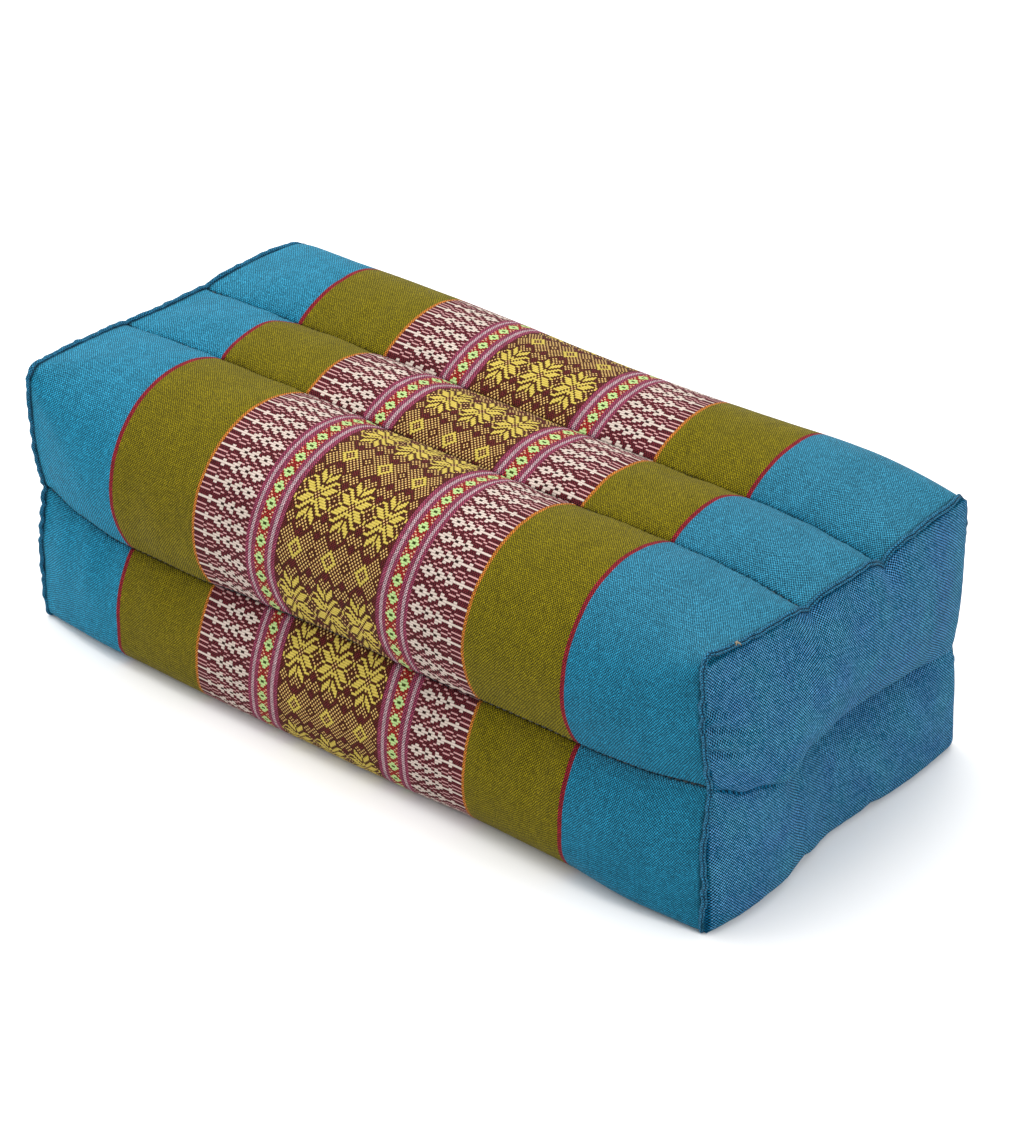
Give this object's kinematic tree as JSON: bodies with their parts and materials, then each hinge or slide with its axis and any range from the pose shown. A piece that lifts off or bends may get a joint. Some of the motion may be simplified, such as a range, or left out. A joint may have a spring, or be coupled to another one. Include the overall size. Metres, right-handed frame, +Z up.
{
  "type": "block zafu cushion",
  "caption": "Block zafu cushion: filled cloth body with a patterned wrap sewn into lengthwise channels, plain end panels and raised end seams.",
  "frame": {"origin": "under the middle of the cushion, on the surface it rests on", "axes": "+X along the cushion's length, +Y to its back, +Z up"},
  "size_m": [0.3742, 0.1825, 0.1261],
  "materials": {
    "wrap_cloth": "woven cotton, with olive bands and a maroon and yellow figured middle",
    "end_cloth": "plain woven cotton",
    "seam_cloth": "folded and stitched cotton"
  },
  "bodies": {
    "root": {"cushion_body": "wrap_cloth", "end_panel_left": "end_cloth", "end_panel_right": "end_cloth", "seam_welt_left": "seam_cloth", "seam_welt_right": "seam_cloth"}
  },
  "joints": []
}
